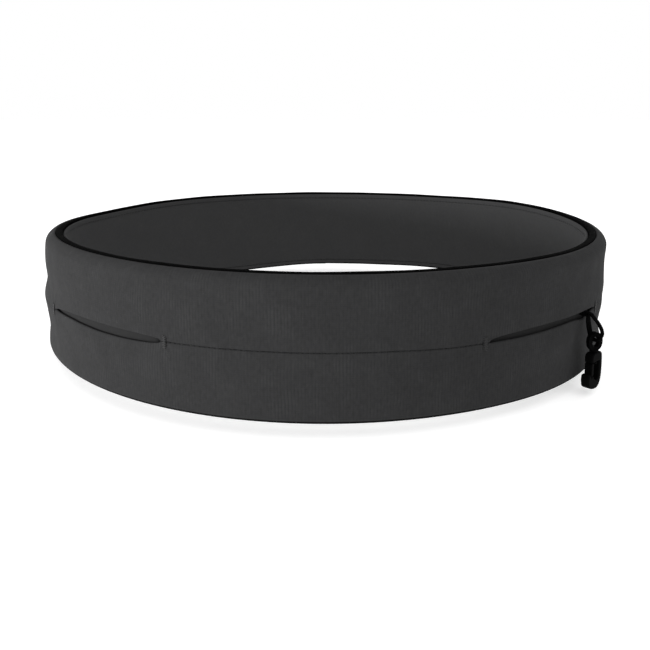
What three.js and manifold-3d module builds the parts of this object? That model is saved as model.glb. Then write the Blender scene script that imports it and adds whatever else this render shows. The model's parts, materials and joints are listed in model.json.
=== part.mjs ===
import * as THREE from "three";
import { mergeVertices } from "three/addons/utils/BufferGeometryUtils.js";
import Module from "manifold-3d";

// Tubular stretch-knit waist belt, held open in the oval it takes on a body, with a key hook.
// Two outer panels meet in a seam round the middle of the outside. Two stretches of that seam
// are left open as pocket slits. A wall of knit closes the tube on the body side, and a woven
// elastic band closes it along each rim. A folded tape hangs from one slit and carries the hook.
// Millimetres, +Z up, -Y to the front, +X to the wearer's left as seen from in front.
// The origin is the middle of the waist opening, level with the seam.

const wasm = await Module();
wasm.setup();

// Belt
const beltHeight = 70;
const waistWidth = 372.8;
const waistDepth = 298.8;
const flareWidth = 9.5;
const flareDepth = 7.6;
const wallThickness = 11.2;
const cloth = 1.2;
const shoulder = 5.4;
const bandWidth = 4;
const bandThickness = 1.4;
const gap = 0.3;
const top = beltHeight / 2;

// Slits and stitching, as angles from the middle of the front in degrees
const slitStart = 25.2;
const slitEnd = 55.5;
const slitHalfHeight = 2.5;
const slitSteps = 12;
const bartackWidth = 0.6;
const bartackHalfHeight = 3.5;
const bartackInset = 0.8;
const threadSize = 0.8;
const hemDepth = 4.4;

// Key tape and hook
const tapeWidth = 4.6;
const gatheredWidth = 2;
const tapeThickness = 1;
const hangTop = new THREE.Vector3(146.6, -103.6, -8);
const throughEye = 0.42;
const twistBefore = 0.2;
const twistAfter = 0.1;
const gatherSpread = 0.24;
const hangLean = 7.2;
const wallTurn = 45;
const loopTurn = 18;
const eyeTurn = 8;
const hookTurn = 35;
const hookThickness = 4.8;
const eyeThickness = 2.8;

const radians = THREE.MathUtils.degToRad;

const knit = { color: 0x3b3b3d, roughness: 0.95, metalness: 0 };
const liningKnit = { color: 0x353537, roughness: 0.95, metalness: 0 };
const elastic = { color: 0x0b0b0c, roughness: 0.8, metalness: 0 };
const thread = { color: 0x1c1c1e, roughness: 0.7, metalness: 0 };
const webbing = { color: 0x0a0a0b, roughness: 0.75, metalness: 0 };
const plastic = { color: 0x101012, roughness: 0.4, metalness: 0 };

function addMesh(parent, name, geometry, finish) {
  const mesh = new THREE.Mesh(geometry, new THREE.MeshStandardMaterial(finish));
  mesh.name = name;
  parent.add(mesh);
  return mesh;
}

function range(count) {
  return Array.from({ length: count }, (_, i) => i);
}

// Six times the signed volume of an indexed triangle mesh
function signedVolume(points, faces) {
  let sum = 0;
  const normal = new THREE.Vector3();
  for (const [a, b, c] of faces) {
    normal.crossVectors(points[b], points[c]);
    sum += points[a].dot(normal);
  }
  return sum;
}

// A closed body skinned over equal-sized outlines. A looped body joins its last outline to
// its first, and any other is capped at both ends, which needs convex end outlines.
function skin(sections, looped) {
  const size = sections[0].length;
  const points = sections.flat();
  const faces = [];
  const last = looped ? sections.length : sections.length - 1;
  for (let i = 0; i < last; i += 1) {
    const here = i * size;
    const next = ((i + 1) % sections.length) * size;
    for (let j = 0; j < size; j += 1) {
      const k = (j + 1) % size;
      faces.push([here + j, next + j, next + k]);
      faces.push([here + j, next + k, here + k]);
    }
  }
  if (!looped) {
    const end = (sections.length - 1) * size;
    for (let j = 1; j < size - 1; j += 1) {
      faces.push([0, j, j + 1]);
      faces.push([end, end + j + 1, end + j]);
    }
  }
  if (signedVolume(points, faces) < 0) {
    faces.forEach((face) => face.reverse());
  }
  const geometry = new THREE.BufferGeometry().setFromPoints(points);
  geometry.setIndex(faces.flat());
  geometry.computeVertexNormals();
  return geometry;
}

// A point on the belt: angle from the middle of the front, distance outside the outer face,
// and height. The oval widens evenly from the top rim to the bottom rim.
function beltPoint(angle, offset, z) {
  const halfWidth = waistWidth / 2 - (flareWidth * z) / beltHeight + offset;
  const halfDepth = waistDepth / 2 - (flareDepth * z) / beltHeight + offset;
  const turn = radians(angle);
  return new THREE.Vector3(halfWidth * Math.sin(turn), -halfDepth * Math.cos(turn), z);
}

function beltSection(angle, outline) {
  return outline.map(([offset, z]) => beltPoint(angle, offset, z));
}

function spread(from, to, steps) {
  return range(steps).map((i) => from + ((to - from) * i) / steps);
}

// Angles all the way round, closer together along the slits
const ringAngles = [
  ...spread(-slitEnd, -slitStart, slitSteps),
  ...spread(-slitStart, slitStart, 11),
  ...spread(slitStart, slitEnd, slitSteps),
  ...spread(slitEnd, 360 - slitEnd, 52),
];

function ring(outlineAt) {
  return skin(
    ringAngles.map((angle) => beltSection(angle, outlineAt(angle))),
    true
  );
}

function arc(from, to, steps, outline) {
  const angles = [...spread(from, to, steps), to];
  return skin(
    angles.map((angle) => beltSection(angle, outline)),
    false
  );
}

function box(low, high, bottom, ceiling) {
  return [
    [low, bottom],
    [high, bottom],
    [high, ceiling],
    [low, ceiling],
  ];
}

// Half of the opening between the outer panels: open along a slit, shut along the seam
function openingAt(angle) {
  const turn = Math.abs(angle > 180 ? angle - 360 : angle);
  const inside = turn > slitStart + 0.01 && turn < slitEnd - 0.01;
  return inside ? slitHalfHeight : gap / 2;
}

// An outer panel, from the seam to the rim, where it rolls over the shoulder to the band.
// side is 1 for the upper panel and -1 for the lower one.
function outerPanel(side) {
  const bend = top - shoulder;
  const roll = [30, 60, 90].map((turn) => [Math.cos(radians(turn)), Math.sin(radians(turn))]);
  const outer = roll.map(([c, s]) => [shoulder * (c - 1), bend + shoulder * s]);
  const inside = shoulder - cloth;
  const inner = roll.map(([c, s]) => [inside * c - shoulder, bend + inside * s]).reverse();
  return ring((angle) => {
    const seam = openingAt(angle);
    const outline = [
      [0, seam],
      [0, bend],
      ...outer,
      ...inner,
      [-cloth, bend],
      [-cloth, seam],
    ];
    return outline.map(([offset, z]) => [offset, side * z]);
  });
}

const belt = new THREE.Group();
addMesh(belt, "outer_panel_upper", outerPanel(1), knit);
addMesh(belt, "outer_panel_lower", outerPanel(-1), knit);

const inner = -wallThickness;
const lip = top - 0.5;
const innerOutline = box(inner, inner + cloth, -lip, lip);
addMesh(belt, "inner_panel", ring(() => innerOutline), liningKnit);

const bandInner = inner + cloth + gap;
const bandOuter = bandInner + bandWidth;
const bandOutline = box(bandInner, bandOuter, top - bandThickness, top);
const lowerBandOutline = box(bandInner, bandOuter, -top, bandThickness - top);
addMesh(belt, "top_edge_band", ring(() => bandOutline), elastic);
addMesh(belt, "bottom_edge_band", ring(() => lowerBandOutline), elastic);

// Stitching: a cord of thread round the middle seam between the slits, in front and behind,
// a hem line along each rim on the body side, and a bartack at both ends of each slit
const threadOutline = box(gap, gap + threadSize, -threadSize / 2, threadSize / 2);
const innerTack = slitStart - bartackInset;
const outerTack = slitEnd + bartackInset;
const clearOfTack = bartackWidth / 2 + 0.3;
const seamFront = innerTack - clearOfTack;
const seamBack = outerTack + clearOfTack;
const frontSeam = arc(-seamFront, seamFront, 12, threadOutline);
const backSeam = arc(seamBack, 360 - seamBack, 52, threadOutline);
addMesh(belt, "front_seam_thread", frontSeam, thread);
addMesh(belt, "back_seam_thread", backSeam, thread);

for (const [place, side] of [["upper", 1], ["lower", -1]]) {
  const z = side * (top - hemDepth);
  const half = threadSize / 2;
  const outline = [
    [inner - gap, z - half],
    [inner - gap, z + half],
    [inner - gap - threadSize, z],
  ];
  addMesh(belt, `inner_hem_stitch_${place}`, ring(() => outline), thread);
}

const tackOutline = box(gap, gap + threadSize, -bartackHalfHeight, bartackHalfHeight);
for (const [place, side] of [["left", -1], ["right", 1]]) {
  for (const [end, angle] of [["inner", innerTack], ["outer", outerTack]]) {
    const middle = side * angle;
    const half = bartackWidth / 2;
    const tack = arc(middle - half, middle + half, 1, tackOutline);
    addMesh(belt, `${place}_slit_${end}_bartack`, tack, thread);
  }
}

// Key tape: its two ends lie together through the slit, where they are sewn in, and the loop
// outside runs down the wall, gathers to pass through the eye of the hook, and comes back up
// in a wide bow
const upward = new THREE.Vector3(0, 0, 1);
const wallAlong = new THREE.Vector3(1, 0, 0).applyAxisAngle(upward, radians(wallTurn));
const loopAlong = new THREE.Vector3(1, 0, 0).applyAxisAngle(upward, radians(loopTurn));
const loopOutward = new THREE.Vector3(0, -1, 0).applyAxisAngle(upward, radians(loopTurn));

// The route of the loop: outward from the eye's middle, sideways, and height
const tapeRoute = [
  [-6.5, -0.2, -0.8],
  [-6.1, -0.2, -2.1],
  [-5.6, -0.1, -4.2],
  [-4.9, 0.1, -6.5],
  [-4.0, 0.3, -8.8],
  [-2.9, 0.4, -10.9],
  [-1.5, 0.2, -12.1],
  [0.0, 0.0, -12.5],
  [1.8, -0.3, -12.1],
  [3.5, -0.6, -10.8],
  [5.0, -0.7, -9.4],
  [5.6, -0.6, -7.5],
  [4.8, -0.5, -5.5],
  [2.8, -0.3, -3.6],
  [0.6, -0.2, -2.1],
  [-1.8, -0.2, -0.8],
  [-4.2, -0.2, 0.5],
  [-6.5, -0.2, 0.8],
].map(([out, along, z]) => {
  const point = new THREE.Vector3(hangTop.x, hangTop.y, z);
  return point.addScaledVector(loopOutward, out).addScaledVector(loopAlong, along);
});

function tapeSection(centre, across, thick, width) {
  return [
    [1, 1],
    [1, -1],
    [-1, -1],
    [-1, 1],
  ].map(([i, j]) => {
    const corner = centre.clone().addScaledVector(across, (i * width) / 2);
    return corner.addScaledVector(thick, (j * tapeThickness) / 2);
  });
}

function tapeLoop() {
  const curve = new THREE.CatmullRomCurve3(tapeRoute, false, "centripetal");
  const steps = 34;
  const sections = range(steps + 1).map((i) => {
    const along = i / steps;
    const forward = curve.getTangentAt(along);
    const past = along - throughEye;
    const twist = Math.exp(-((past / (past < 0 ? twistBefore : twistAfter)) ** 2));
    const across = wallAlong.clone().lerp(loopAlong, twist);
    across.addScaledVector(forward, -across.dot(forward)).normalize();
    const thick = new THREE.Vector3().crossVectors(forward, across);
    const gather = Math.exp(-((past / gatherSpread) ** 2));
    const width = THREE.MathUtils.lerp(tapeWidth, gatheredWidth, gather);
    return tapeSection(curve.getPointAt(along), across, thick, width);
  });
  return skin(sections, false);
}

function tapeRoot() {
  const length = 5;
  const bendRoom = 2;
  const root = new THREE.BoxGeometry(tapeWidth, length, 2.6);
  root.translate(0, length / 2 + bendRoom, 0);
  root.rotateZ(radians(wallTurn));
  const mouth = tapeRoute[0].clone().add(tapeRoute.at(-1)).multiplyScalar(0.5);
  return root.translate(mouth.x, mouth.y, 0);
}

addMesh(belt, "key_tape_root", tapeRoot(), webbing);
addMesh(belt, "key_tape_loop", tapeLoop(), webbing);

// Joining and cutting of closed geometries
function toSolid(geometry) {
  const plain = geometry.clone();
  plain.deleteAttribute("normal");
  plain.deleteAttribute("uv");
  const merged = mergeVertices(plain, 1e-4);
  const vertProperties = new Float32Array(merged.getAttribute("position").array);
  const triVerts = new Uint32Array(merged.getIndex().array);
  return new wasm.Manifold(new wasm.Mesh({ numProp: 3, vertProperties, triVerts }));
}

function toGeometry(solid) {
  const mesh = solid.getMesh();
  const geometry = new THREE.BufferGeometry();
  geometry.setAttribute("position", new THREE.BufferAttribute(mesh.vertProperties, 3));
  geometry.setIndex(new THREE.BufferAttribute(mesh.triVerts, 1));
  geometry.computeVertexNormals();
  return geometry;
}

// A plate with the given outline in X and Z, centred on Y = 0, with its edges broken
function plate(shape, thickness, edge) {
  const geometry = new THREE.ExtrudeGeometry(shape, {
    depth: thickness - 2 * edge,
    bevelThickness: edge,
    bevelSize: edge,
    bevelOffset: -edge,
    bevelSegments: 1,
    curveSegments: 5,
  });
  geometry.translate(0, 0, edge - thickness / 2);
  return geometry.rotateX(Math.PI / 2);
}

function pillar(radius, low, high, sides = 20) {
  const geometry = new THREE.CylinderGeometry(radius, radius, high - low, sides);
  geometry.rotateX(Math.PI / 2);
  return geometry.translate(0, 0, (low + high) / 2);
}

// The hook hangs from the eye's top. Heights below are measured down from there.
const eyeHeight = 10.6;
const eyeBreadth = 8;
const eyeSide = 2.2;
const eyeEnd = 2.4;
const neckRadius = 2.3;
const neckBottom = -11;
const stemRadius = 1.25;
const stemBore = 1.55;
const bodyTop = -11.3;
const bridgeBottom = -16.6;
const headRadius = 1.9;
const headHeight = 1.2;

// An oval with squarish sides, so that the tape lies flat in the eye
function ovalPoints(halfBreadth, halfHeight, centre, power, count) {
  return range(count).map((i) => {
    const turn = (2 * Math.PI * i) / count;
    const c = Math.cos(turn);
    const s = Math.sin(turn);
    const x = halfBreadth * Math.sign(c) * Math.abs(c) ** (2 / power);
    const y = centre + halfHeight * Math.sign(s) * Math.abs(s) ** (2 / power);
    return new THREE.Vector2(x, y);
  });
}

function eyeGeometry() {
  const centre = -eyeHeight / 2;
  const rim = new THREE.Shape(ovalPoints(eyeBreadth / 2, eyeHeight / 2, centre, 2.3, 28));
  const halfHole = eyeBreadth / 2 - eyeSide;
  rim.holes.push(new THREE.Path(ovalPoints(halfHole, eyeHeight / 2 - eyeEnd, centre, 3.2, 24)));
  const loop = toSolid(plate(rim, eyeThickness, 0));
  const neck = toSolid(pillar(neckRadius, neckBottom, -eyeHeight + 0.8));
  const stem = toSolid(pillar(stemRadius, bridgeBottom - gap - 0.5, neckBottom + 0.5));
  const headTop = bridgeBottom - gap;
  const head = toSolid(pillar(headRadius, headTop - headHeight, headTop));
  return toGeometry(loop.add(neck).add(stem).add(head));
}

function hookOutline() {
  const outline = new THREE.Shape();
  outline.moveTo(-2.8, bodyTop);
  outline.lineTo(2.8, bodyTop);
  outline.quadraticCurveTo(4.7, bodyTop - 0.3, 4.9, bodyTop - 3.2);
  outline.quadraticCurveTo(5.4, -20.5, 5, -25.5);
  outline.quadraticCurveTo(4.4, -31.2, 0.8, -32.6);
  outline.quadraticCurveTo(-3.8, -32.9, -6.9, -30.2);
  outline.quadraticCurveTo(-7.9, -28.6, -7.8, -25);
  outline.lineTo(-7.3, -23);
  outline.lineTo(-5.5, -23);
  outline.lineTo(-5.5, -24.8);
  outline.lineTo(-2.2, -24.8);
  outline.quadraticCurveTo(-2.1, -27.2, 0, -27.4);
  outline.quadraticCurveTo(2.1, -27.2, 2.2, -24.5);
  outline.lineTo(2.2, bridgeBottom);
  outline.lineTo(-4.8, bridgeBottom);
  outline.lineTo(-4.8, bodyTop - 2.2);
  outline.quadraticCurveTo(-4.5, bodyTop - 0.3, -2.8, bodyTop);
  return outline;
}

function hookGeometry() {
  const body = toSolid(plate(hookOutline(), hookThickness, 0.5));
  const bore = toSolid(pillar(stemBore, bridgeBottom - 1, bodyTop + 1));
  return toGeometry(body.subtract(bore));
}

// The gate is a springy tongue that turns inward about its rounded upper end
const gateX = -3.65;
const gateTop = -18;
const gateBottom = -24.4;
const gateHalf = 1.1;

function gateGeometry() {
  const outline = new THREE.Shape();
  outline.moveTo(gateX - gateHalf, gateBottom);
  outline.lineTo(gateX + gateHalf, gateBottom);
  outline.lineTo(gateX + gateHalf, gateTop);
  outline.absarc(gateX, gateTop, gateHalf, 0, Math.PI, false);
  const tongue = toSolid(plate(outline, hookThickness - 0.6, 0.2));
  const groove = new THREE.BoxGeometry(1, 2.2, 4.6);
  groove.translate(gateX - gateHalf - 0.1, 0, (gateTop + gateBottom) / 2);
  return toGeometry(tongue.subtract(toSolid(groove)));
}

// A frame at the eye's top that leans with the wall, turned to face the piece's own way
function hangingGroup(turn) {
  const place = new THREE.Group();
  place.position.copy(hangTop);
  place.rotation.z = radians(wallTurn);
  const lean = new THREE.Group();
  lean.rotation.x = -radians(hangLean);
  const facing = new THREE.Group();
  facing.rotation.z = radians(turn - wallTurn);
  belt.add(place);
  place.add(lean);
  lean.add(facing);
  return facing;
}

addMesh(hangingGroup(eyeTurn), "hook_eye", eyeGeometry(), plastic);
const hook = hangingGroup(hookTurn);
addMesh(hook, "hook_body", hookGeometry(), plastic);
addMesh(hook, "hook_gate", gateGeometry(), plastic);

export default belt;
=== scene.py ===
import json
import math

import bpy
import numpy as np
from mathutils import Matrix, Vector


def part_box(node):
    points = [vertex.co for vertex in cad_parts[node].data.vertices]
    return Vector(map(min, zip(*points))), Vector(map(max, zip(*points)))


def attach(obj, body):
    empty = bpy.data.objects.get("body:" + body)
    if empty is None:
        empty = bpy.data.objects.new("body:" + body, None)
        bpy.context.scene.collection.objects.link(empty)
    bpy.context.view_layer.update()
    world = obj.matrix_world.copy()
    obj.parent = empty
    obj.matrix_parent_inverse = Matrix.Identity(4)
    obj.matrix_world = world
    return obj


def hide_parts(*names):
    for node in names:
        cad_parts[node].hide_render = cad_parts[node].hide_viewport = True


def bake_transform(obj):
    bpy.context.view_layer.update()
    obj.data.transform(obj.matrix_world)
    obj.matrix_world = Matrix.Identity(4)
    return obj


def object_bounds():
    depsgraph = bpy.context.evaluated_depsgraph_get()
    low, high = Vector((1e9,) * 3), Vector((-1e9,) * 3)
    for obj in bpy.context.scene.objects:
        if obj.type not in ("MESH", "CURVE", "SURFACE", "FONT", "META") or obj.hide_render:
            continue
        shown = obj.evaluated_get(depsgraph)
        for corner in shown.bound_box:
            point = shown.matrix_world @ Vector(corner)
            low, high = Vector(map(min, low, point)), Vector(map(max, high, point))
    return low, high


# The looks of a tubular knit waist belt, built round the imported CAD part. Metres, +Z up,
# -Y to the front. The origin is the middle of the waist opening, level with the seam.

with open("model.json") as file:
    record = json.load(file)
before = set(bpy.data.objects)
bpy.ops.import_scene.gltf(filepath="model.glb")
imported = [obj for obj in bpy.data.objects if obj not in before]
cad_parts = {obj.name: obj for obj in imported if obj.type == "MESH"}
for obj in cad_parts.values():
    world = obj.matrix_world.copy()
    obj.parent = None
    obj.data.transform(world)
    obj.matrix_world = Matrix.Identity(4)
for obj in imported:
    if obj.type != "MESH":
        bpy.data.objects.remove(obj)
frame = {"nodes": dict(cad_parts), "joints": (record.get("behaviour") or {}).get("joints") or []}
CAD_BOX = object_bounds()
NODES = frame["nodes"]
JOINTS = {joint["name"]: joint for joint in frame["joints"]}

MM = 0.001

# Sizes that the CAD part is built with. Offsets are distances out of its outer face.
SHOULDER = 5.4 * MM
CLOTH = 1.2 * MM
BAND_OUTSIDE = -5.7 * MM
BAND_INSIDE = -9.7 * MM
LINING_OUTSIDE = -10.0 * MM
LINING_INSIDE = -11.2 * MM
HEM_DEPTH = 4.4 * MM

# Sizes measured on the CAD part
UPPER_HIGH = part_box("outer_panel_upper")[1]
LOWER_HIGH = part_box("outer_panel_lower")[1]
BAND_LOW, BAND_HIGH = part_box("top_edge_band")
INNER_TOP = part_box("inner_panel")[1].z
TOP = UPPER_HIGH.z
BEND = TOP - SHOULDER
HALF_WIDTH = UPPER_HIGH.x
HALF_DEPTH = UPPER_HIGH.y
FLARE_WIDTH = (LOWER_HIGH.x - UPPER_HIGH.x) / BEND
FLARE_DEPTH = (LOWER_HIGH.y - UPPER_HIGH.y) / BEND

# The elastic is taller than its CAD solid, and its top stands a little higher
BAND_THICK = BAND_HIGH.z - BAND_LOW.z + 1.1 * MM
BAND_TOP = TOP + 0.2 * MM

# Ends of the slits and place of the tape, in degrees from the middle of the front
SLIT_START = 25.2
SLIT_END = 55.5
BARTACK_INSET = 0.8
INNER_TACK = SLIT_START - BARTACK_INSET
OUTER_TACK = SLIT_END + BARTACK_INSET
CLEAR_OF_TACK = 0.6
TAPE_ANGLE = 50.5

# How far the lips of each slit part, up and down, and how far the lining comes forward
# behind them. -1 is the left slit and 1 the right one.
SLIT_RISE = {-1: 2.6 * MM, 1: 3.4 * MM}
SLIT_SAG = {-1: 2.5 * MM, 1: 0.6 * MM}
SAG_AT_TAPE = 2.0 * MM
LIP_GAP = 0.07 * MM
POCKET_BULGE = {-1: 6.5 * MM, 1: 5.9 * MM}
POCKET_SLACK = 1.2 * MM

# The lower panel rolls under more tightly than the upper one rolls over
LOWER_SHOULDER = 3.4 * MM

COLUMNS = 1200
FACE_POINTS = 34
LINING_POINTS = 44


def smooth_step(x):
    x = np.clip(x, 0, 1)
    return x * x * (3 - 2 * x)


def bell(x, centre, spread):
    return np.exp(-(((x - centre) / spread) ** 2))


def turned(angle):
    """Angle from the middle of the front, from -180 to 180."""
    return (np.asarray(angle, float) + 180) % 360 - 180


def seam_height(angle):
    """Height of the middle seam. It runs level along the left and middle of the front and a
    little lower elsewhere, and dips at the outer end of the left slit."""
    around = turned(angle)
    drop = smooth_step((around - 8) / 12) + smooth_step((-around - 70) / 20)
    return (0.05 - 0.9 * drop - 2.4 * bell(around, -59, 7)) * MM


def slit_share(angle, side):
    """0 at the ends of the slit on that side and 1 where it gapes, nearer its inner end."""
    along = (side * turned(angle) - SLIT_START) / (SLIT_END - SLIT_START)
    return np.sin(math.pi * np.clip(along, 0, 1) ** 0.7) ** 0.5


def behind_slit(angle, side):
    """1 behind the slit on that side and just past its outer end, and 0 away from it."""
    around = side * turned(angle)
    begin = smooth_step((around - (SLIT_START - 2.5)) / 4)
    return begin * smooth_step(((SLIT_END + 14) - around) / 9)


def lip_height(angle, panel):
    """Height of the panel's edge: on the seam, and parted from the other edge at the slits."""
    move = SLIT_RISE if panel > 0 else SLIT_SAG
    parting = sum(move[side] * slit_share(angle, side) for side in (-1, 1))
    if panel < 0:
        parting = parting + SAG_AT_TAPE * bell(turned(angle), TAPE_ANGLE, 3.5)
    return seam_height(angle) + panel * (LIP_GAP + parting)


# Dents and swells of the cloth: angle, height, spread round, spread up, and depth, in
# degrees and millimetres
SWELLS = [
    (-70, 10, 16, 7, -1.0),
    (-68, -1, 14, 6, 1.5),
    (-66, -21, 14, 8, -1.2),
    (68, -20, 15, 10, -2.4),
    (44, -24, 9, 6, -0.6),
    (67, 4, 14, 8, 0.4),
    (49, -12, 5, 7, -1.6),
    (38, -12, 9, 6, 0.6),
    (-40, -12, 12, 7, 0.5),
    (-40, 12, 14, 8, 0.4),
    (0, -16, 22, 9, 0.5),
    (0, 18, 26, 9, 0.4),
    (-18, -22, 9, 9, -0.4),
    (22, -20, 8, 10, -0.4),
    (14, 20, 9, 11, -0.3),
    (-22, 21, 8, 10, -0.3),
    (100, 8, 20, 14, 0.6),
    (-104, -8, 20, 14, 0.5),
    (128, -18, 16, 12, -0.7),
    (-133, 16, 18, 12, -0.6),
    (158, 10, 16, 14, 0.6),
    (-162, -12, 18, 12, 0.5),
]


def swell(angle, z):
    """Distance that the cloth stands out of its even oval, with fine waves all round."""
    around = turned(angle)
    height = z / MM
    total = np.zeros(np.broadcast(around, height).shape)
    for angle0, z0, spread_round, spread_up, depth in SWELLS:
        total += depth * bell(around, angle0, spread_round) * bell(height, z0, spread_up)
    turn = np.radians(around)
    total += 0.16 * np.sin(9 * turn + 0.4) * np.sin(height / 14 + 1.1)
    total += 0.10 * np.sin(23 * turn + 2.0 + height / 20) * np.sin(height / 9 + 0.3)
    total += 0.05 * np.sin(61 * turn + height / 7)
    return total * MM


def rim_sag(angle, z):
    """How far the belt hangs down or rides up, which shows most along its rims."""
    around = turned(angle)
    lower = -3.2 * bell(around, -152, 18) + 2.7 * bell(around, 140, 18)
    lower = lower - 1.3 * bell(around, 0, 48) - 2.0 * bell(around, 50, 20)
    upper = 1.6 * bell(around, 118, 22) - 1.4 * bell(around, -108, 16)
    height = np.asarray(z) / (25 * MM)
    return MM * (lower * smooth_step(-height) + upper * smooth_step(height))


def rim_lean(angle, z):
    """How far the upper rim leans outward, along the front."""
    around = turned(angle)
    lean = 1.0 * bell(around, 5, 18) + 2.3 * bell(around, 46, 20) - 1.5 * bell(around, -44, 20)
    return lean * MM * smooth_step((np.asarray(z) - 18 * MM) / (16 * MM))


def pucker(angle, z):
    """Fine creases that run out from the bartacks, and from the seam where it's gathered."""
    around = turned(angle)
    total = np.zeros(np.broadcast(around, z).shape)
    for side in (-1, 1):
        for tack in (INNER_TACK, OUTER_TACK):
            dx = np.radians(around - side * tack) * HALF_WIDTH
            dz = z - seam_height(side * tack)
            away = np.hypot(dx, dz)
            spoke = np.sin(7 * np.arctan2(dz, dx) + side + tack)
            total += 0.22 * MM * spoke * np.exp(-away / (6 * MM)) * smooth_step(away / (2 * MM))
    off_seam = np.abs(z - seam_height(around))
    gather = np.sin(np.radians(around) * 340) * np.exp(-off_seam / (2.2 * MM))
    closed = 1 - np.maximum(slit_share(around, -1), slit_share(around, 1))
    return total + 0.07 * MM * gather * closed


def shell_points(angle, offset, z):
    """Points at that angle, distance outside the outer face, and height."""
    turn = np.radians(angle)
    offset = offset + rim_lean(angle, z)
    half_width = HALF_WIDTH - FLARE_WIDTH * z + offset
    half_depth = HALF_DEPTH - FLARE_DEPTH * z + offset
    level = z + rim_sag(angle, z)
    return np.stack([half_width * np.sin(turn), -half_depth * np.cos(turn), level], axis=-1)


def shell_frame(angle):
    """Directions outward and along the belt at that angle, level."""
    turn = math.radians(angle)
    outward = Vector((math.sin(turn) / HALF_WIDTH, -math.cos(turn) / HALF_DEPTH, 0)).normalized()
    return outward, Vector((-outward.y, outward.x, 0))


def new_object(name, points, faces, uvs=None, smooth=True):
    mesh = bpy.data.meshes.new(name)
    mesh.from_pydata([tuple(p) for p in points], [], [tuple(int(i) for i in f) for f in faces])
    if uvs is not None:
        layer = mesh.uv_layers.new(name="cloth")
        layer.data.foreach_set("uv", np.asarray(uvs, np.float32).ravel())
    mesh.polygons.foreach_set("use_smooth", [smooth] * len(mesh.polygons))
    mesh.update()
    obj = bpy.data.objects.new(name, mesh)
    bpy.context.scene.collection.objects.link(obj)
    return obj


def closed_ring(name, grid, run, rise):
    """A ring-shaped body. grid is columns x points x 3, and each column is a closed outline.
    run and rise give each grid point's place on the cloth, in metres, for its weave."""
    columns, size = grid.shape[:2]
    i, j = np.meshgrid(np.arange(columns), np.arange(size), indexing="ij")
    i2, j2 = (i + 1) % columns, (j + 1) % size
    faces = np.stack([i * size + j, i2 * size + j, i2 * size + j2, i * size + j2], axis=-1)
    run = np.concatenate([run, run[-1:] + (run[1:2] - run[:1])], axis=0)
    rise = np.concatenate([rise, rise[:1]], axis=0)
    run = np.concatenate([run, run[:, :1]], axis=1)
    rise = np.concatenate([rise, rise[:, -1:] + (rise[:, -1:] - rise[:, -2:-1])], axis=1)
    corners = [(i, j), (i + 1, j), (i + 1, j + 1), (i, j + 1)]
    uvs = np.stack([np.stack([run[a, b], rise[a, b]], axis=-1) for a, b in corners], axis=-2)
    points = grid.reshape(-1, 3)
    faces = faces.reshape(-1, 4)
    a, b, c, d = (points[faces[:, k]] for k in range(4))
    volume = np.einsum("ij,ij->i", a, np.cross(b, c) + np.cross(c, d)).sum()
    if volume < 0:
        faces = faces[:, ::-1]
        uvs = uvs[:, :, ::-1]
    return new_object(name, points, faces, uvs.reshape(-1, 2))


ANGLES = np.linspace(-180, 180, COLUMNS, endpoint=False)
ROUND = math.pi * (HALF_WIDTH + HALF_DEPTH)


def ring_body(name, offsets, heights, start=0):
    """A ring from offsets and heights, each columns x outline points. The cloth's rise is
    measured along the outline from the point numbered start."""
    grid = shell_points(ANGLES[:, None], offsets, heights)
    steps = np.hypot(np.diff(offsets, axis=1), np.diff(heights, axis=1))
    rise = np.concatenate([np.zeros((COLUMNS, 1)), np.cumsum(steps, axis=1)], axis=1)
    rise = rise - rise[:, start:start + 1]
    run = np.repeat(ANGLES[:, None] / 360 * ROUND, offsets.shape[1], axis=1)
    return closed_ring(name, grid, run, rise)


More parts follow.
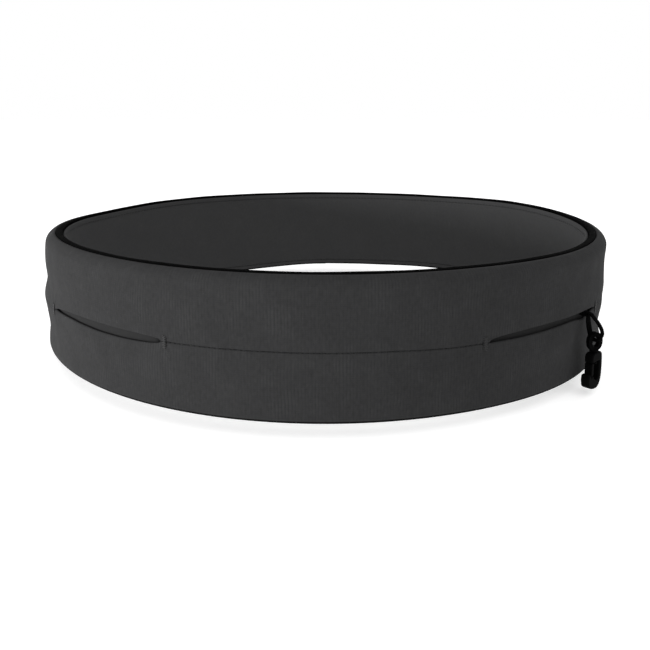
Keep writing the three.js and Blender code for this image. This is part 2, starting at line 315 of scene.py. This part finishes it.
def outer_panel(name, panel):
    """The upper panel, where panel is 1, or the lower one, where it is -1."""
    radius = SHOULDER if panel > 0 else LOWER_SHOULDER
    bend = TOP - radius
    angle = ANGLES[:, None]
    edge = panel * lip_height(ANGLES, panel)[:, None]
    half = CLOTH / 2
    open_share = np.maximum(slit_share(ANGLES, -1), slit_share(ANGLES, 1))[:, None]

    face_steps = np.linspace(0, 1, FACE_POINTS) ** 1.35
    face_z = edge + half + (bend - edge - half) * face_steps[None, :]
    face_offset = np.zeros_like(face_z)
    turn = np.radians(np.linspace(10, 90, 9))[None, :]
    roll_z = np.repeat(bend + radius * np.sin(turn), COLUMNS, axis=0)
    roll_offset = np.repeat(radius * (np.cos(turn) - 1), COLUMNS, axis=0)
    end_offset = -SHOULDER
    flat = np.linspace(-radius, end_offset, 4)[1:] if radius < SHOULDER else np.zeros(0)
    flat_offset = np.repeat(flat[None, :], COLUMNS, axis=0)
    flat_z = np.full_like(flat_offset, TOP)
    back_flat_z = flat_z[:, ::-1] - CLOTH
    back_flat_offset = flat_offset[:, ::-1]
    inside = radius - CLOTH
    back_roll_z = np.repeat(bend + inside * np.sin(turn[:, ::-1]), COLUMNS, axis=0)
    back_roll_offset = np.repeat(inside * np.cos(turn[:, ::-1]) - radius, COLUMNS, axis=0)
    back_steps = face_steps[::-3]
    back_z = edge + half + (bend - edge - half) * back_steps[None, :]
    back_offset = np.full_like(back_z, -CLOTH)
    lip = np.radians(np.linspace(150, 30, 5))[None, :]
    lip_z = edge + half - half * np.sin(lip)
    lip_offset = np.repeat(-half + half * np.cos(lip), COLUMNS, axis=0)

    offsets = np.concatenate(
        [face_offset, roll_offset, flat_offset, back_flat_offset, back_roll_offset,
         back_offset, lip_offset], axis=1)
    heights = panel * np.concatenate(
        [face_z, roll_z, flat_z, back_flat_z, back_roll_z, back_z, lip_z], axis=1)

    up = np.abs(heights)
    hold_rim = 1 - smooth_step((up - (bend - 4 * MM)) / (radius + 4 * MM))
    offsets = offsets + swell(angle, heights) * hold_rim
    offsets = offsets + pucker(angle, heights) * hold_rim
    from_edge = panel * heights - edge
    crown = smooth_step(from_edge / (9 * MM)) * hold_rim
    valley = np.exp(-from_edge / (2.6 * MM)) * (1 - open_share)
    offsets = offsets + 0.35 * MM * crown - 0.22 * MM * valley
    lip_pull = 0.5 * MM if panel > 0 else -0.6 * MM
    offsets = offsets + lip_pull * open_share * np.exp(-from_edge / (5 * MM))
    return ring_body(name, offsets, heights, FACE_POINTS - 1)


def lining_panel():
    """The wall on the body side. Behind the slits its outer face lies close to the panels."""
    angle = ANGLES[:, None]
    radius = (LINING_OUTSIDE - LINING_INSIDE) / 2
    middle = (LINING_OUTSIDE + LINING_INSIDE) / 2
    rise = np.linspace(-1, 1, LINING_POINTS)
    turn = np.radians(np.linspace(30, 150, 5))
    ceiling = INNER_TOP - radius - 0.6 * MM
    heights = np.concatenate(
        [ceiling * rise, ceiling + radius * np.sin(turn), ceiling * rise[::-1],
         -ceiling - radius * np.sin(turn)])
    offsets = np.concatenate(
        [np.full(LINING_POINTS, LINING_INSIDE), middle - radius * np.cos(turn),
         np.full(LINING_POINTS, LINING_OUTSIDE), middle + radius * np.cos(turn)])
    outside = (offsets > middle).astype(float)[None, :]
    heights = np.repeat(heights[None, :], COLUMNS, axis=0)
    offsets = np.repeat(offsets[None, :], COLUMNS, axis=0)
    hold_rim = 1 - smooth_step((np.abs(heights) - 24 * MM) / (10 * MM))
    bulge = sum(POCKET_BULGE[side] * behind_slit(angle, side) for side in (-1, 1))
    slack = sum(POCKET_SLACK * behind_slit(angle, side) for side in (-1, 1))
    backing = np.exp(-(((heights + 1 * MM) / (11 * MM)) ** 4)) * hold_rim
    offsets = offsets + backing * (slack + bulge * outside)
    follow = backing * outside * sum(behind_slit(angle, side) for side in (-1, 1))
    offsets = offsets + follow * swell(angle, heights)
    offsets = offsets + (1 - follow) * 0.5 * swell(angle + 40, -heights) * hold_rim
    hem = bell(np.abs(heights), TOP - HEM_DEPTH, 0.9 * MM) * (1 - outside)
    lip = smooth_step((np.abs(heights) - (TOP - HEM_DEPTH)) / (2.5 * MM)) * (1 - outside)
    gather = np.sin(np.radians(angle) * 420) * (1 - outside)
    near_hem = bell(np.abs(heights), TOP - HEM_DEPTH, 3 * MM)
    offsets = offsets + 0.35 * MM * hem - 0.25 * MM * lip + 0.05 * MM * gather * near_hem
    return ring_body("lining", offsets, heights)


def edge_band(name, panel):
    """Woven elastic along the rim, crowned, with rolled edges."""
    turn = np.radians(np.linspace(0, 360, 28, endpoint=False))
    half_width = (BAND_OUTSIDE - BAND_INSIDE) / 2
    middle = (BAND_OUTSIDE + BAND_INSIDE) / 2
    cos, sin = np.cos(turn), np.sin(turn)
    offset = middle + half_width * np.sign(cos) * np.abs(cos) ** 0.45
    half = BAND_THICK / 2
    height = (BAND_TOP - half) + half * np.sign(sin) * np.abs(sin) ** 0.45
    height = height + 0.25 * MM * np.clip(sin, 0, 1) * (1 - ((offset - middle) / half_width) ** 2)
    offsets = np.repeat(offset[None, :], COLUMNS, axis=0)
    heights = panel * np.repeat(height[None, :], COLUMNS, axis=0)
    wave = 0.12 * MM * np.sin(np.radians(ANGLES) * 17) * np.sin(np.radians(ANGLES) * 5 + 1)
    return ring_body(name, offsets, heights + wave[:, None])


# Stitches are short lengths of thread with rounded ends, gathered into one mesh a row

STITCH_SIDES = 6
# Place along a stitch, from -1 to 1, and share of its full radius there
STITCH_RINGS = [(-1.0, 0.35), (-0.86, 0.85), (-0.5, 1.0), (0.5, 1.0), (0.86, 0.85), (1.0, 0.35)]
BARTACK_STITCHES = 15
BARTACK_HEIGHT = 6.0 * MM
BARTACK_LEAN = 0.32
BARTACK_LENGTH = 2.4 * MM
BARTACK_RADIUS = 0.26 * MM

# Pitch, length and radius of the stitches in a row, and how far their ends sink
SEAM_STITCH = (2.6 * MM, 2.0 * MM, 0.15 * MM)
HEM_STITCH = (2.9 * MM, 2.5 * MM, 0.36 * MM)
STITCH_ARCH = 0.12 * MM
HEM_ARCH = 0.15 * MM


class Stitches:
    """Stitches that share one mesh."""

    def __init__(self):
        self.points = []
        self.faces = []

    def add(self, middle, along, outward, length, radius, arch):
        """A stitch at middle. arch is how far its ends sink below its middle."""
        side = along.cross(outward).normalized()
        start = len(self.points)
        for place, fatness in STITCH_RINGS:
            centre = middle + along * (place * length / 2) - outward * (arch * place * place)
            for k in range(STITCH_SIDES):
                turn = 2 * math.pi * k / STITCH_SIDES
                spoke = side * math.cos(turn) + outward * math.sin(turn)
                self.points.append(centre + spoke * (radius * fatness))
        for ring in range(len(STITCH_RINGS) - 1):
            for k in range(STITCH_SIDES):
                a = start + ring * STITCH_SIDES + k
                b = start + ring * STITCH_SIDES + (k + 1) % STITCH_SIDES
                self.faces.append((a, b, b + STITCH_SIDES, a + STITCH_SIDES))
        last = start + (len(STITCH_RINGS) - 1) * STITCH_SIDES
        self.faces.append(tuple(range(start + STITCH_SIDES - 1, start - 1, -1)))
        self.faces.append(tuple(range(last, last + STITCH_SIDES)))

    def build(self, name):
        return new_object(name, self.points, self.faces)


def stitch_row(name, start, end, pitch, length, radius, offset, height, outward_sign, arch):
    """A row of stitches along the belt. offset and height are functions of the angle, and
    outward_sign is -1 on the body side."""
    row = Stitches()
    angle = start
    while angle < end:
        here = Vector(shell_points(angle, offset(angle), height(angle)))
        step = 0.01
        there = Vector(shell_points(angle + step, offset(angle), height(angle + step)))
        along = (there - here).normalized()
        per_degree = (there - here).length / step
        outward = shell_frame(angle)[0] * outward_sign
        row.add(here, along, outward, length, radius, arch)
        angle += pitch / per_degree
    return row.build(name)


def bartack(name, angle):
    """A dense upright bar of zigzag stitches across the end of a slit."""
    tack = Stitches()
    outward, along = shell_frame(angle)
    base = float(seam_height(angle))
    for i in range(BARTACK_STITCHES):
        z = base + BARTACK_HEIGHT * (i / (BARTACK_STITCHES - 1) - 0.5)
        raised = float(swell(angle, z)) + 0.2 * MM
        middle = Vector(shell_points(angle, raised, z))
        lean = BARTACK_LEAN if i % 2 else -BARTACK_LEAN
        direction = (along + Vector((0, 0, lean))).normalized()
        tack.add(middle, direction, outward, BARTACK_LENGTH, BARTACK_RADIUS, STITCH_ARCH)
    return tack.build(name)


# Materials

def material(name, colour, roughness, sheen, specular):
    mat = bpy.data.materials.new(name)
    mat.use_nodes = True
    shader = mat.node_tree.nodes["Principled BSDF"]
    shader.inputs["Base Color"].default_value = (*colour, 1)
    shader.inputs["Roughness"].default_value = roughness
    shader.inputs["Sheen Weight"].default_value = sheen
    shader.inputs["Sheen Roughness"].default_value = 0.5
    shader.inputs["Specular IOR Level"].default_value = specular
    return mat, shader


class Nodes:
    """Short calls for building a material's nodes."""

    def __init__(self, mat):
        self.tree = mat.node_tree

    def add(self, kind, **inputs):
        node = self.tree.nodes.new(kind)
        for name, value in inputs.items():
            self.set(node.inputs[name], value)
        return node

    def set(self, socket, value):
        if isinstance(value, bpy.types.NodeSocket):
            self.tree.links.new(value, socket)
        else:
            socket.default_value = value

    def math(self, operation, a, b=0.0, c=0.0):
        node = self.tree.nodes.new("ShaderNodeMath")
        node.operation = operation
        for socket, value in zip(node.inputs, (a, b, c)):
            self.set(socket, value)
        return node.outputs[0]

    def cloth_place(self):
        """Distances along and up the cloth in metres."""
        uv = self.tree.nodes.new("ShaderNodeUVMap")
        uv.uv_map = "cloth"
        split = self.add("ShaderNodeSeparateXYZ", Vector=uv.outputs[0])
        return split.outputs[0], split.outputs[1]

    def object_place(self):
        return self.add("ShaderNodeTexCoord").outputs["Object"]

    def noise(self, vector, scale, detail=2.0, roughness=0.5):
        node = self.add("ShaderNodeTexNoise", Vector=vector, Scale=scale, Detail=detail)
        node.inputs["Roughness"].default_value = roughness
        return node.outputs["Fac"]

    def wave(self, place, period, phase=0.0):
        """A sine from 0 to 1 with that period in metres."""
        turn = self.math("MULTIPLY_ADD", place, 2 * math.pi / period, phase)
        return self.math("MULTIPLY_ADD", self.math("SINE", turn), 0.5, 0.5)

    def clamped(self, value):
        return self.math("MINIMUM", self.math("MAXIMUM", value, 0.0), 1.0)

    def ramp(self, value, low, high):
        """Blends two colours by a value from 0 to 1."""
        node = self.tree.nodes.new("ShaderNodeMix")
        node.data_type = "RGBA"
        self.set(node.inputs[0], value)
        for socket, colour in ((node.inputs[6], low), (node.inputs[7], high)):
            self.set(socket, (*colour, 1) if isinstance(colour, tuple) else colour)
        return node.outputs[2]

    def bump(self, height, distance, strength):
        node = self.add("ShaderNodeBump", Height=height, Distance=distance, Strength=strength)
        return node.outputs[0]


# Width over which one colour of cloth passes into another
COLOUR_EDGE = 0.3 * MM


def shade(colour, amount):
    return tuple(c * amount for c in colour)


def knit_material(name, colour, rib, contrast, other=(1.0, 2.0), other_colour=(0, 0, 0)):
    """Stretch knit: upright ribs of slanting loops that show in patches, and an uneven tone.
    other is a span of the cloth's rise, in metres, that has another colour. Unless given, it
    lies beyond the cloth."""
    mat, shader = material(name, colour, 0.92, 0.01, 0.03)
    nodes = Nodes(mat)
    run, rise = nodes.cloth_place()
    place = nodes.object_place()
    drift = nodes.noise(place, 70, 3.0)
    bent_run = nodes.math("MULTIPLY_ADD", drift, 1.3 * MM, run)
    ribs = nodes.wave(bent_run, rib)
    fine = nodes.wave(bent_run, rib / 2, 0.8)
    slant = nodes.math("MULTIPLY_ADD", ribs, 0.35 * MM, rise)
    loops = nodes.wave(slant, 1.0 * MM)
    stitch = nodes.math("MULTIPLY", fine, loops)
    fuzz = nodes.noise(place, 2600, 3.0, 0.7)
    tone = nodes.noise(place, 38, 4.0, 0.6)
    patch = nodes.clamped(nodes.math("MULTIPLY_ADD", nodes.noise(place, 85, 3.0, 0.6), 6.0, -2.9))
    shown_ribs = nodes.math("MULTIPLY", ribs, nodes.math("MULTIPLY_ADD", patch, 0.55, 0.15))
    height = nodes.math("MULTIPLY_ADD", stitch, 0.4, shown_ribs)
    height = nodes.math("MULTIPLY_ADD", fuzz, 0.35, height)
    value = nodes.math("MULTIPLY_ADD", shown_ribs, 0.3, nodes.math("MULTIPLY", stitch, 0.12))
    stretched = nodes.add("ShaderNodeCombineXYZ", X=nodes.math("MULTIPLY", run, 800),
                          Y=nodes.math("MULTIPLY", rise, 240)).outputs[0]
    streaks = nodes.noise(stretched, 1.0, 3.0, 0.6)
    value = nodes.math("MULTIPLY_ADD", streaks, 0.36, value)
    value = nodes.math("MULTIPLY_ADD", nodes.noise(place, 520, 2.0), 0.32, value)
    value = nodes.math("MULTIPLY_ADD", fuzz, 0.1, value)
    value = nodes.math("MULTIPLY_ADD", tone, 0.22, value)
    low, high = shade(colour, 1 - 0.55 * contrast), shade(colour, 1 + 0.5 * contrast)
    start, end = other
    past = nodes.math("MULTIPLY", nodes.math("SUBTRACT", rise, start), 1 / COLOUR_EDGE)
    before = nodes.math("MULTIPLY", nodes.math("SUBTRACT", end, rise), 1 / COLOUR_EDGE)
    over = nodes.clamped(nodes.math("MINIMUM", past, before))
    nodes.set(shader.inputs["Base Color"], nodes.ramp(over, nodes.ramp(value, low, high), other_colour))
    nodes.set(shader.inputs["Roughness"], nodes.math("MULTIPLY_ADD", fuzz, 0.12, 0.84))
    nodes.set(shader.inputs["Normal"], nodes.bump(height, 0.10 * MM, 0.6 * contrast))
    return mat


def woven_material(name, colour, across=0.9 * MM, along=0.55 * MM):
    """Narrow woven elastic or tape: close ribs across it and fine cords along it."""
    mat, shader = material(name, colour, 0.8, 0.0, 0.006)
    nodes = Nodes(mat)
    run, rise = nodes.cloth_place()
    ribs = nodes.wave(run, across)
    cords = nodes.wave(rise, along)
    cross = nodes.wave(run, across * 2, 1.2)
    weave = nodes.math("MULTIPLY", nodes.math("ADD", ribs, cross), cords)
    fuzz = nodes.noise(nodes.object_place(), 3000, 2.0, 0.7)
    height = nodes.math("MULTIPLY_ADD", fuzz, 0.4, weave)
    value = nodes.math("MULTIPLY_ADD", weave, 0.35, nodes.math("MULTIPLY", fuzz, 0.5))
    nodes.set(shader.inputs["Base Color"], nodes.ramp(value, shade(colour, 0.6), shade(colour, 1.9)))
    nodes.set(shader.inputs["Roughness"], nodes.math("MULTIPLY_ADD", fuzz, 0.2, 0.66))
    nodes.set(shader.inputs["Normal"], nodes.bump(height, 0.14 * MM, 0.9))
    return mat


def thread_material(name, colour):
    """Twisted sewing thread."""
    mat, shader = material(name, colour, 0.6, 0.0, 0.15)
    nodes = Nodes(mat)
    place = nodes.object_place()
    strands = nodes.noise(place, 2600, 3.0, 0.6)
    nodes.set(shader.inputs["Base Color"], nodes.ramp(strands, shade(colour, 0.6), shade(colour, 1.6)))
    nodes.set(shader.inputs["Roughness"], nodes.math("MULTIPLY_ADD", strands, 0.25, 0.45))
    nodes.set(shader.inputs["Normal"], nodes.bump(strands, 0.08 * MM, 0.8))
    return mat


def plastic_material(name, colour):
    """Moulded acetal: satin, with a very fine grain, and painted highlights on its sharp edges."""
    mat, shader = material(name, colour, 0.4, 0.0, 0.006)
    nodes = Nodes(mat)
    place = nodes.object_place()
    grain = nodes.noise(place, 4200, 3.0, 0.6)
    cloud = nodes.noise(place, 260, 3.0, 0.5)
    sharpness = nodes.add("ShaderNodeNewGeometry").outputs["Pointiness"]
    # Painted highlight: the sharpest edges are coloured lighter
    edge = nodes.clamped(nodes.math("MULTIPLY_ADD", sharpness, 8.0, -4.16))
    value = nodes.math("MULTIPLY_ADD", cloud, 0.35, nodes.math("MULTIPLY", edge, 0.65))
    nodes.set(shader.inputs["Base Color"], nodes.ramp(value, shade(colour, 0.8), shade(colour, 2.2)))
    nodes.set(shader.inputs["Roughness"], nodes.math("MULTIPLY_ADD", grain, 0.18, 0.34))
    nodes.set(shader.inputs["Normal"], nodes.bump(grain, 0.02 * MM, 0.6))
    return mat


OUTER_GREY = (0.0235, 0.0235, 0.024)
OUTER_RIB = ROUND / 740
INNER_RIB = ROUND / 880
OUTER_KNIT = knit_material("outer_knit_charcoal", OUTER_GREY, OUTER_RIB, 1.0)

# The lower panel is coloured near-black where it rolls under, and the lining's pocket side is coloured
# darker, painted shade for the dim inside of the pockets
ROLLED_UNDER = (LOWER_SHOULDER * math.radians(16), 10 * MM)
# Painted shade: the lining is coloured darker over its pocket side, standing in for the dim inside of
# the pockets
POCKET_SHADE_SPAN = (2 * INNER_TOP, 4.3 * INNER_TOP)
OUTER_KNIT_DARK_BELOW = knit_material("outer_knit_near_black_below", OUTER_GREY, OUTER_RIB, 1.0,
                           ROLLED_UNDER, (0.0015, 0.0015, 0.0015))
# Painted light: the lining's knit is coloured lighter than the outer knit, to make up for the light
# that the inside of the ring lacks
INNER_KNIT = knit_material("inner_knit_charcoal_painted_lighter", (0.0345, 0.0345, 0.035), INNER_RIB, 0.4,
                           POCKET_SHADE_SPAN, (0.020, 0.020, 0.0203))
ELASTIC = woven_material("edge_elastic_black", (0.0012, 0.0012, 0.0012))
THREAD = thread_material("thread_near_black", (0.014, 0.014, 0.0143))
BARTACK_THREAD = thread_material("bartack_thread_charcoal", (0.022, 0.022, 0.0224))
TAPE = woven_material("tape_black", (0.0015, 0.0015, 0.0016), across=0.7 * MM, along=0.6 * MM)
PLASTIC = plastic_material("hook_plastic_black", (0.0022, 0.0022, 0.0023))


def finish_piece(obj, mat, body, replaced):
    """Gives a rigid piece its material and body, in place of those CAD nodes."""
    obj.data.materials.clear()
    obj.data.materials.append(mat)
    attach(obj, body)
    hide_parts(*replaced)
    return obj


# Camera, stage and light

CAMERA_PLACE = (0, -0.3648, 0.0994)
CAMERA_PITCH = 21.59
CAMERA_LENS = 28.8
SENSOR_WIDTH = 36
FLOOR = CAD_BOX[0][2] - 3 * MM
FLOOR_HALF = 60.0
FLOOR_GLOW = 0.42
LIGHT_AIM = Vector((-0.05, 0, 0))


def make_camera():
    data = bpy.data.cameras.new("camera")
    data.lens = CAMERA_LENS
    data.sensor_width = SENSOR_WIDTH
    data.clip_start = 0.01
    camera = bpy.data.objects.new("camera", data)
    camera.location = CAMERA_PLACE
    camera.rotation_euler = (math.radians(90 - CAMERA_PITCH), 0, 0)
    bpy.context.scene.collection.objects.link(camera)
    bpy.context.scene.camera = camera


def make_stage():
    """A pale floor, level in every direction."""
    signs = [(-1, -1), (1, -1), (1, 1), (-1, 1)]
    corners = [(x * FLOOR_HALF, y * FLOOR_HALF, FLOOR) for x, y in signs]
    floor = new_object("floor", corners, [(0, 1, 2, 3)], smooth=False)
    mat, shader = material("floor_pale", (0.86, 0.86, 0.86), 0.85, 0.0, 0.1)
    nodes = Nodes(mat)
    mottle = nodes.noise(nodes.object_place(), 3.0, 3.0)
    nodes.set(shader.inputs["Base Color"], nodes.ramp(mottle, (0.85, 0.85, 0.85), (0.87, 0.87, 0.87)))
    shader.inputs["Emission Color"].default_value = (1, 1, 1, 1)
    shader.inputs["Emission Strength"].default_value = FLOOR_GLOW
    floor.data.materials.append(mat)


def area_light(name, place, size, power):
    """A round light at that place, in metres and watts, turned to the belt."""
    data = bpy.data.lights.new(name, "AREA")
    data.shape = "DISK"
    data.size = size
    data.energy = power
    light = bpy.data.objects.new(name, data)
    light.location = place
    aim = LIGHT_AIM - Vector(place)
    light.rotation_euler = aim.to_track_quat("-Z", "Y").to_euler()
    bpy.context.scene.collection.objects.link(light)


def white_world():
    world = bpy.data.worlds.new("studio")
    world.use_nodes = True
    background = world.node_tree.nodes["Background"]
    background.inputs[0].default_value = (1, 1, 1, 1)
    background.inputs[1].default_value = 1.0
    bpy.context.scene.world = world


make_camera()
make_stage()
area_light("key", (-1.8, -0.7, 0.09), 0.3, 43)
area_light("fill", (1.2, -0.5, 1.5), 1.0, 2.6)
white_world()
bpy.context.scene.view_settings.view_transform = "Standard"


# Key tape: one strip, sewn into the slit at both ends, that passes through the hook's eye

def level_directions(degrees):
    """Directions along and out of a wall turned that far from facing the front."""
    turn = math.radians(degrees)
    return (Vector((math.cos(turn), math.sin(turn), 0)),
            Vector((math.sin(turn), -math.cos(turn), 0)))


HANG_TOP = Vector(JOINTS["hook_swivel"]["pos_m"])
TAPE_MOUTH = Vector(JOINTS["tape_swing"]["pos_m"])
LOOP_ALONG, LOOP_OUTWARD = level_directions(18)
WALL_ALONG, WALL_OUTWARD = level_directions(45)
TAPE_WIDTH = 4.1 * MM
FOLDED_WIDTH = 3.4 * MM
GATHERED_WIDTH = 2.5 * MM
TAPE_THICK = 0.7 * MM
SEWN_STEP = 1.5 * MM
SEWN_STEPS = 2
SPAN_POINTS = 7
TAPE_SIDES = 20

# Shares of the tape's length: where it passes through the eye, and how far to either side
# of that it twists and is gathered
THROUGH_EYE = 0.43
TWIST_BEFORE = 0.33
TWIST_AFTER = 0.08
GATHER_SPREAD = 0.24

# Outward from the middle of the eye, sideways, and height, in metres
TAPE_ROUTE = [
    (-0.0065, -0.0002, -0.0008),
    (-0.0061, -0.0002, -0.0021),
    (-0.0056, -0.0001, -0.0042),
    (-0.0049, 0.0001, -0.0065),
    (-0.0040, 0.0003, -0.0088),
    (-0.0029, 0.0004, -0.0109),
    (-0.0015, 0.0002, -0.0121),
    (0.0000, 0.0000, -0.0125),
    (0.0018, -0.0003, -0.0121),
    (0.0035, -0.0006, -0.0108),
    (0.0050, -0.0007, -0.0094),
    (0.0056, -0.0006, -0.0075),
    (0.0048, -0.0005, -0.0055),
    (0.0028, -0.0003, -0.0036),
    (0.0006, -0.0002, -0.0021),
    (-0.0018, -0.0002, -0.0008),
    (-0.0042, -0.0002, 0.0005),
    (-0.0065, -0.0002, 0.0008),
]


def tape_points():
    """The tape's route from one sewn end to the other."""
    points = []
    for out, along, z in TAPE_ROUTE:
        base = Vector((HANG_TOP.x, HANG_TOP.y, z))
        points.append(base + LOOP_OUTWARD * out + LOOP_ALONG * along)
    first, last = points[0], points[-1]
    steps = [SEWN_STEP * (k + 1) for k in range(SEWN_STEPS)]
    sewn = [first - WALL_OUTWARD * step for step in reversed(steps)]
    sewn_back = [last - WALL_OUTWARD * step for step in steps]
    return sewn + points + sewn_back


def smooth_line(points, per_span):
    """A centripetal Catmull-Rom line through the points."""
    padded = [points[0] * 2 - points[1], *points, points[-1] * 2 - points[-2]]
    line = []
    for p0, p1, p2, p3 in zip(padded, padded[1:], padded[2:], padded[3:]):
        t1 = math.sqrt((p1 - p0).length)
        t2 = t1 + math.sqrt((p2 - p1).length)
        t3 = t2 + math.sqrt((p3 - p2).length)
        for k in range(per_span):
            t = t1 + (t2 - t1) * k / per_span
            a1 = p0 * ((t1 - t) / t1) + p1 * (t / t1)
            a2 = p1 * ((t2 - t) / (t2 - t1)) + p2 * ((t - t1) / (t2 - t1))
            a3 = p2 * ((t3 - t) / (t3 - t2)) + p3 * ((t - t2) / (t3 - t2))
            b1 = a1 * ((t2 - t) / t2) + a2 * (t / t2)
            b2 = a2 * ((t3 - t) / (t3 - t1)) + a3 * ((t - t1) / (t3 - t1))
            line.append(b1 * ((t2 - t) / (t2 - t1)) + b2 * ((t - t1) / (t2 - t1)))
    line.append(points[-1])
    return line


def tape_outline():
    """A flat outline with soft corners, from -1 to 1 each way."""
    outline = []
    for k in range(TAPE_SIDES):
        turn = 2 * math.pi * k / TAPE_SIDES
        c, s = math.cos(turn), math.sin(turn)
        outline.append((math.copysign(abs(c) ** 0.35, c), math.copysign(abs(s) ** 0.6, s)))
    return outline


def strip(name, points, lengths):
    """A capped strip of tape from rings of points, and each ring's distance along it."""
    faces, uvs = [], []
    rings = len(lengths)
    for i in range(rings - 1):
        for k in range(TAPE_SIDES):
            a = i * TAPE_SIDES + k
            b = i * TAPE_SIDES + (k + 1) % TAPE_SIDES
            faces.append((a, b, b + TAPE_SIDES, a + TAPE_SIDES))
            low, high = (TAPE_WIDTH * 2 * corner / TAPE_SIDES for corner in (k, k + 1))
            u0, u1 = lengths[i], lengths[i + 1]
            uvs += [(u0, low), (u0, high), (u1, high), (u1, low)]
    end = (rings - 1) * TAPE_SIDES
    faces.append(tuple(range(TAPE_SIDES - 1, -1, -1)))
    faces.append(tuple(range(end, end + TAPE_SIDES)))
    uvs += [(0, 0)] * (2 * TAPE_SIDES)
    return new_object(name, points, faces, uvs)


def tape_root():
    """The two sewn ends of the tape, one on the other inside the slit."""
    points, lengths = [], []
    for step in np.linspace(1.0, 4.0, 12) * MM:
        centre = TAPE_MOUTH - WALL_OUTWARD * step
        for x, y in tape_outline():
            lift = Vector((0, 0, 1.15 * MM * y))
            points.append(centre + WALL_ALONG * (TAPE_WIDTH / 2 * x) + lift)
        lengths.append(step)
    finish_piece(strip("key_tape_sewn_end", points, lengths), TAPE, "belt",
                 ["key_tape_root"])


def key_tape():
    """The tape from sewn end to sewn end, which bends where it leaves the slit."""
    line = smooth_line(tape_points(), SPAN_POINTS)
    lengths = [0.0]
    for a, b in zip(line, line[1:]):
        lengths.append(lengths[-1] + (b - a).length)
    total = lengths[-1]
    outline = tape_outline()
    points = []
    for i, centre in enumerate(line):
        ahead = line[min(i + 1, len(line) - 1)]
        behind = line[max(i - 1, 0)]
        forward = (ahead - behind).normalized()
        past = lengths[i] / total - THROUGH_EYE
        twist = math.exp(-((past / (TWIST_BEFORE if past < 0 else TWIST_AFTER)) ** 2))
        gather = math.exp(-((past / GATHER_SPREAD) ** 2))
        across = WALL_ALONG.lerp(LOOP_ALONG, twist)
        across = (across - forward * across.dot(forward)).normalized()
        thick = forward.cross(across)
        width = TAPE_WIDTH if past < 0 else FOLDED_WIDTH
        half = (width + (GATHERED_WIDTH - width) * gather) / 2
        cupped = 0.45 * MM * gather
        half_thick = TAPE_THICK / 2 * (1 + 1.2 * gather)
        for x, y in outline:
            lift = half_thick * y + cupped * (x * x - 0.5)
            points.append(centre + across * (half * x) + thick * lift)
    tape = strip("key_tape", points, lengths)
    tape.data.materials.append(TAPE)
    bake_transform(tape)
    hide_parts("key_tape_loop")


tape_root()
key_tape()


# Belt

upper = finish_piece(outer_panel("outer_cloth_upper", 1), OUTER_KNIT, "belt",
                     ["outer_panel_upper"])
lower = finish_piece(outer_panel("outer_cloth_lower", -1), OUTER_KNIT_DARK_BELOW, "belt",
                     ["outer_panel_lower"])
lining = finish_piece(lining_panel(), INNER_KNIT, "belt", ["inner_panel"])
for band_name, panel, node in (("elastic_top", 1, "top_edge_band"),
                               ("elastic_bottom", -1, "bottom_edge_band")):
    finish_piece(edge_band(band_name, panel), ELASTIC, "belt", [node])


def in_valley(angle):
    """How far out of the even oval a stitch of the seam lies, down in the seam's valley."""
    return float(swell(angle, seam_height(angle))) - 0.3 * MM


def level(value):
    """A height or distance that is the same at every angle."""
    return lambda angle: value


SEAM_FRONT = INNER_TACK - CLEAR_OF_TACK
SEAM_BACK = OUTER_TACK + CLEAR_OF_TACK
for seam_name, start, end, node in (
        ("seam_stitches_front", -SEAM_FRONT, SEAM_FRONT, "front_seam_thread"),
        ("seam_stitches_back", SEAM_BACK, 360 - SEAM_BACK, "back_seam_thread")):
    row = stitch_row(seam_name, start, end, *SEAM_STITCH, in_valley, seam_height, 1, STITCH_ARCH)
    finish_piece(row, THREAD, "belt", [node])

for hem_name, panel, node in (("hem_stitches_top", 1, "inner_hem_stitch_upper"),
                              ("hem_stitches_bottom", -1, "inner_hem_stitch_lower")):
    row = stitch_row(hem_name, 0, 360, *HEM_STITCH, level(LINING_INSIDE + 0.15 * MM),
                     level(panel * (TOP - HEM_DEPTH)), -1, HEM_ARCH)
    finish_piece(row, THREAD, "belt", [node])

for place, side in (("left", -1), ("right", 1)):
    for end, angle in (("inner", INNER_TACK), ("outer", OUTER_TACK)):
        tack = bartack(f"bartack_{place}_{end}", side * angle)
        finish_piece(tack, BARTACK_THREAD, "belt", [f"{place}_slit_{end}_bartack"])


# Hook: each moulded piece is rounded from its CAD solid

FINE_GRAIN = 0.14 * MM
FINEST_GRAIN = 0.10 * MM


def moulded(node, name, voxel, passes, body):
    """A piece remeshed at that voxel size and smoothed in that many passes."""
    source = NODES[node]
    obj = bpy.data.objects.new(name, source.data.copy())
    bpy.context.scene.collection.objects.link(obj)
    remesh = obj.modifiers.new("remesh", "REMESH")
    remesh.mode = "VOXEL"
    remesh.voxel_size = voxel
    soften = obj.modifiers.new("soften", "SMOOTH")
    soften.factor = 0.5
    soften.iterations = passes
    depsgraph = bpy.context.evaluated_depsgraph_get()
    mesh = bpy.data.meshes.new_from_object(obj.evaluated_get(depsgraph))
    obj.modifiers.clear()
    obj.data = mesh
    mesh.polygons.foreach_set("use_smooth", [True] * len(mesh.polygons))
    mesh.update()
    finish_piece(obj, PLASTIC, body, [node])


moulded("hook_eye", "swivel_eye", FINE_GRAIN, 5, "eye")
moulded("hook_body", "snap_hook", FINE_GRAIN, 5, "hook")
moulded("hook_gate", "snap_gate", FINEST_GRAIN, 3, "gate")

bpy.context.view_layer.update()
